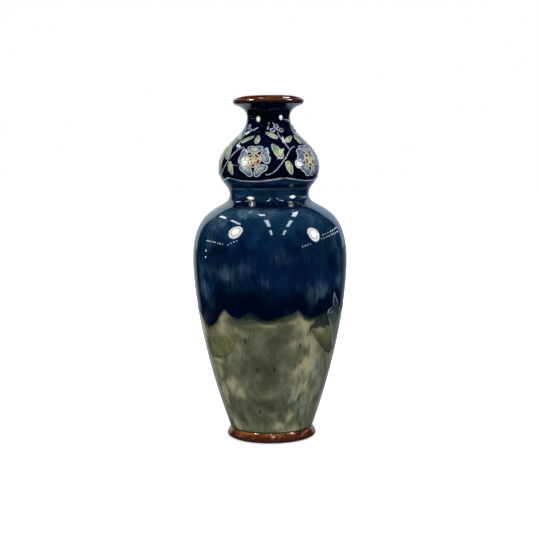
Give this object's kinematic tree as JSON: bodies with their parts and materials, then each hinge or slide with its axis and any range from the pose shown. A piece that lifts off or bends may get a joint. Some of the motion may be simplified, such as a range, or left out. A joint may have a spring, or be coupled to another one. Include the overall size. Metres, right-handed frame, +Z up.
{
  "type": "stoneware vase",
  "caption": "Tall stoneware baluster vase with a bulbous collar, flared lip and foot ring, mottled blue over green glaze and a slip-trailed rose frieze.",
  "frame": {"origin": "centre of the foot ring's seat, on the surface that the vase stands on", "axes": "+Z up through the mouth; -Y is the side that the picture shows, with +X to its right"},
  "size_m": [0.1354, 0.1354, 0.3],
  "materials": {
    "clay": "bare buff stoneware, matt",
    "brown_glaze": "glossy red-brown glaze with amber edges",
    "green_glaze": "glossy mottled olive-grey glaze with cream patches",
    "olive_glaze": "glossy thin olive runs",
    "blue_glaze": "glossy mottled deep teal-blue glaze",
    "cobalt_glaze": "glossy near-black cobalt ground",
    "inner_glaze": "glossy plain buff-grey glaze",
    "pale_slip": "raised pale blue-white slip under gloss",
    "cream_slip": "raised cream slip under gloss",
    "petal_glaze": "glossy pale blue running to cream",
    "russet_glaze": "glossy russet",
    "eye_glaze": "glossy green-yellow",
    "leaf_glaze": "glossy leaf green",
    "berry_glaze": "glossy mid blue"
  },
  "bodies": {
    "root": {"lower_body": "clay", "upper_body": "clay", "foot_ring": "clay", "rim_ring": "clay", "foot_glaze": "brown_glaze", "green_glaze": "green_glaze", "olive_runs": "olive_glaze", "blue_glaze": "blue_glaze", "cobalt_ground": "cobalt_glaze", "rim_glaze": "brown_glaze", "inner_glaze": "inner_glaze", "border_trail": "pale_slip", "stem_trails": "pale_slip", "petal_trails": "pale_slip", "heart_trails": "cream_slip", "eye_trails": "cream_slip", "leaf_trails": "pale_slip", "berry_trails": "pale_slip", "petals": "petal_glaze", "hearts": "russet_glaze", "eyes": "eye_glaze", "leaves": "leaf_glaze", "berries": "berry_glaze"}
  },
  "joints": []
}
